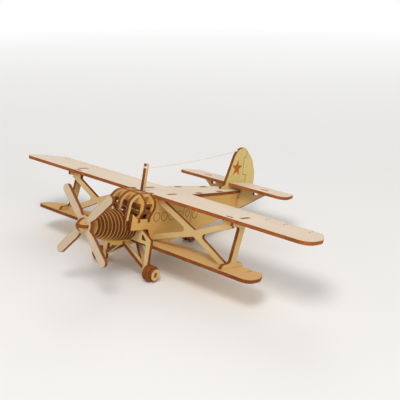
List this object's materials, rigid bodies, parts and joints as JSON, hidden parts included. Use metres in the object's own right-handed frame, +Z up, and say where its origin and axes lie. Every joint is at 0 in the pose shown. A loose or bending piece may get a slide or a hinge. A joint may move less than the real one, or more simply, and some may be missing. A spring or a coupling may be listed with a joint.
{
  "type": "biplane scale model",
  "caption": "Slot-together plywood display model of a biplane, with a ringed engine cowl, framed canopy, crossed wing trusses, turning propeller and rolling wheels.",
  "frame": {"origin": "centre of the footprint on the ground under the wheels", "axes": "+X to the model's port side along the wings, +Y aft towards the tail, +Z up; the model stands nose up on its wheels"},
  "size_m": [0.287, 0.2038, 0.0778],
  "materials": {
    "birch_ply": "bare sanded birch plywood with burnt edges",
    "tyre_ply": "dark burnt plywood discs",
    "dowel": "bare wooden dowel",
    "thread": "plain twisted cotton thread"
  },
  "bodies": {
    "airframe": {"antenna_mast": "birch_ply", "antenna_thread": "thread", "belly_plate": "birch_ply", "cabin_former": "birch_ply", "canopy_frame_front": "birch_ply", "canopy_frame_rear": "birch_ply", "canopy_shelf_lower": "birch_ply", "canopy_shelf_upper": "birch_ply", "cowl_ring_01": "birch_ply", "cowl_ring_02": "birch_ply", "cowl_ring_03": "birch_ply", "cowl_ring_04": "birch_ply", "cowl_ring_05": "birch_ply", "cowl_ring_06": "birch_ply", "cowl_ring_07": "birch_ply", "cowl_ring_08": "birch_ply", "cowl_ring_09": "birch_ply", "cowl_ring_10": "birch_ply", "cowl_ring_11": "birch_ply", "cowl_ring_12": "birch_ply", "engine_keel": "birch_ply", "fin": "birch_ply", "gear_brace_port": "birch_ply", "gear_brace_starboard": "birch_ply", "gear_frame": "birch_ply", "lower_wing": "birch_ply", "rear_former": "birch_ply", "side_plate_port": "birch_ply", "side_plate_starboard": "birch_ply", "stabiliser": "birch_ply", "tail_brace": "birch_ply", "tail_leg_former": "birch_ply", "top_deck": "birch_ply", "upper_wing": "birch_ply", "wheel_retainer_port": "birch_ply", "wheel_retainer_starboard": "birch_ply", "windscreen_rib_centre": "birch_ply", "windscreen_rib_port": "birch_ply", "windscreen_rib_starboard": "birch_ply", "wing_former": "birch_ply", "wing_strut_port": "birch_ply", "wing_strut_starboard": "birch_ply", "wing_truss_port": "birch_ply", "wing_truss_starboard": "birch_ply"},
    "propeller": {"propeller": "birch_ply", "spinner_vertical": "birch_ply", "spinner_horizontal": "birch_ply", "hub_spacer": "birch_ply", "propeller_shaft": "dowel", "shaft_collar": "birch_ply"},
    "wheel_port": {"main_wheel_port_inner": "tyre_ply", "main_wheel_port_outer": "tyre_ply"},
    "wheel_starboard": {"main_wheel_starboard_inner": "tyre_ply", "main_wheel_starboard_outer": "tyre_ply"},
    "tail_wheel_port": {"tail_wheel_port": "tyre_ply"},
    "tail_wheel_starboard": {"tail_wheel_starboard": "tyre_ply"}
  },
  "joints": [
    {"name": "propeller_spin", "type": "hinge", "parent": "airframe", "child": "propeller", "pos_m": [0, -0.09436, 0.04845], "axis": [0, 0.9698, -0.2441], "continuous": true},
    {"name": "wheel_port_roll", "type": "hinge", "parent": "airframe", "child": "wheel_port", "pos_m": [0.0264, -0.05802, 0.006], "axis": [1, 0, 0], "continuous": true},
    {"name": "wheel_starboard_roll", "type": "hinge", "parent": "airframe", "child": "wheel_starboard", "pos_m": [-0.0264, -0.05802, 0.006], "axis": [1, 0, 0], "continuous": true},
    {"name": "tail_wheel_port_roll", "type": "hinge", "parent": "airframe", "child": "tail_wheel_port", "pos_m": [0.00325, 0.01505, 0.0038], "axis": [1, 0, 0], "continuous": true},
    {"name": "tail_wheel_starboard_roll", "type": "hinge", "parent": "airframe", "child": "tail_wheel_starboard", "pos_m": [-0.00325, 0.01505, 0.0038], "axis": [1, 0, 0], "continuous": true}
  ]
}
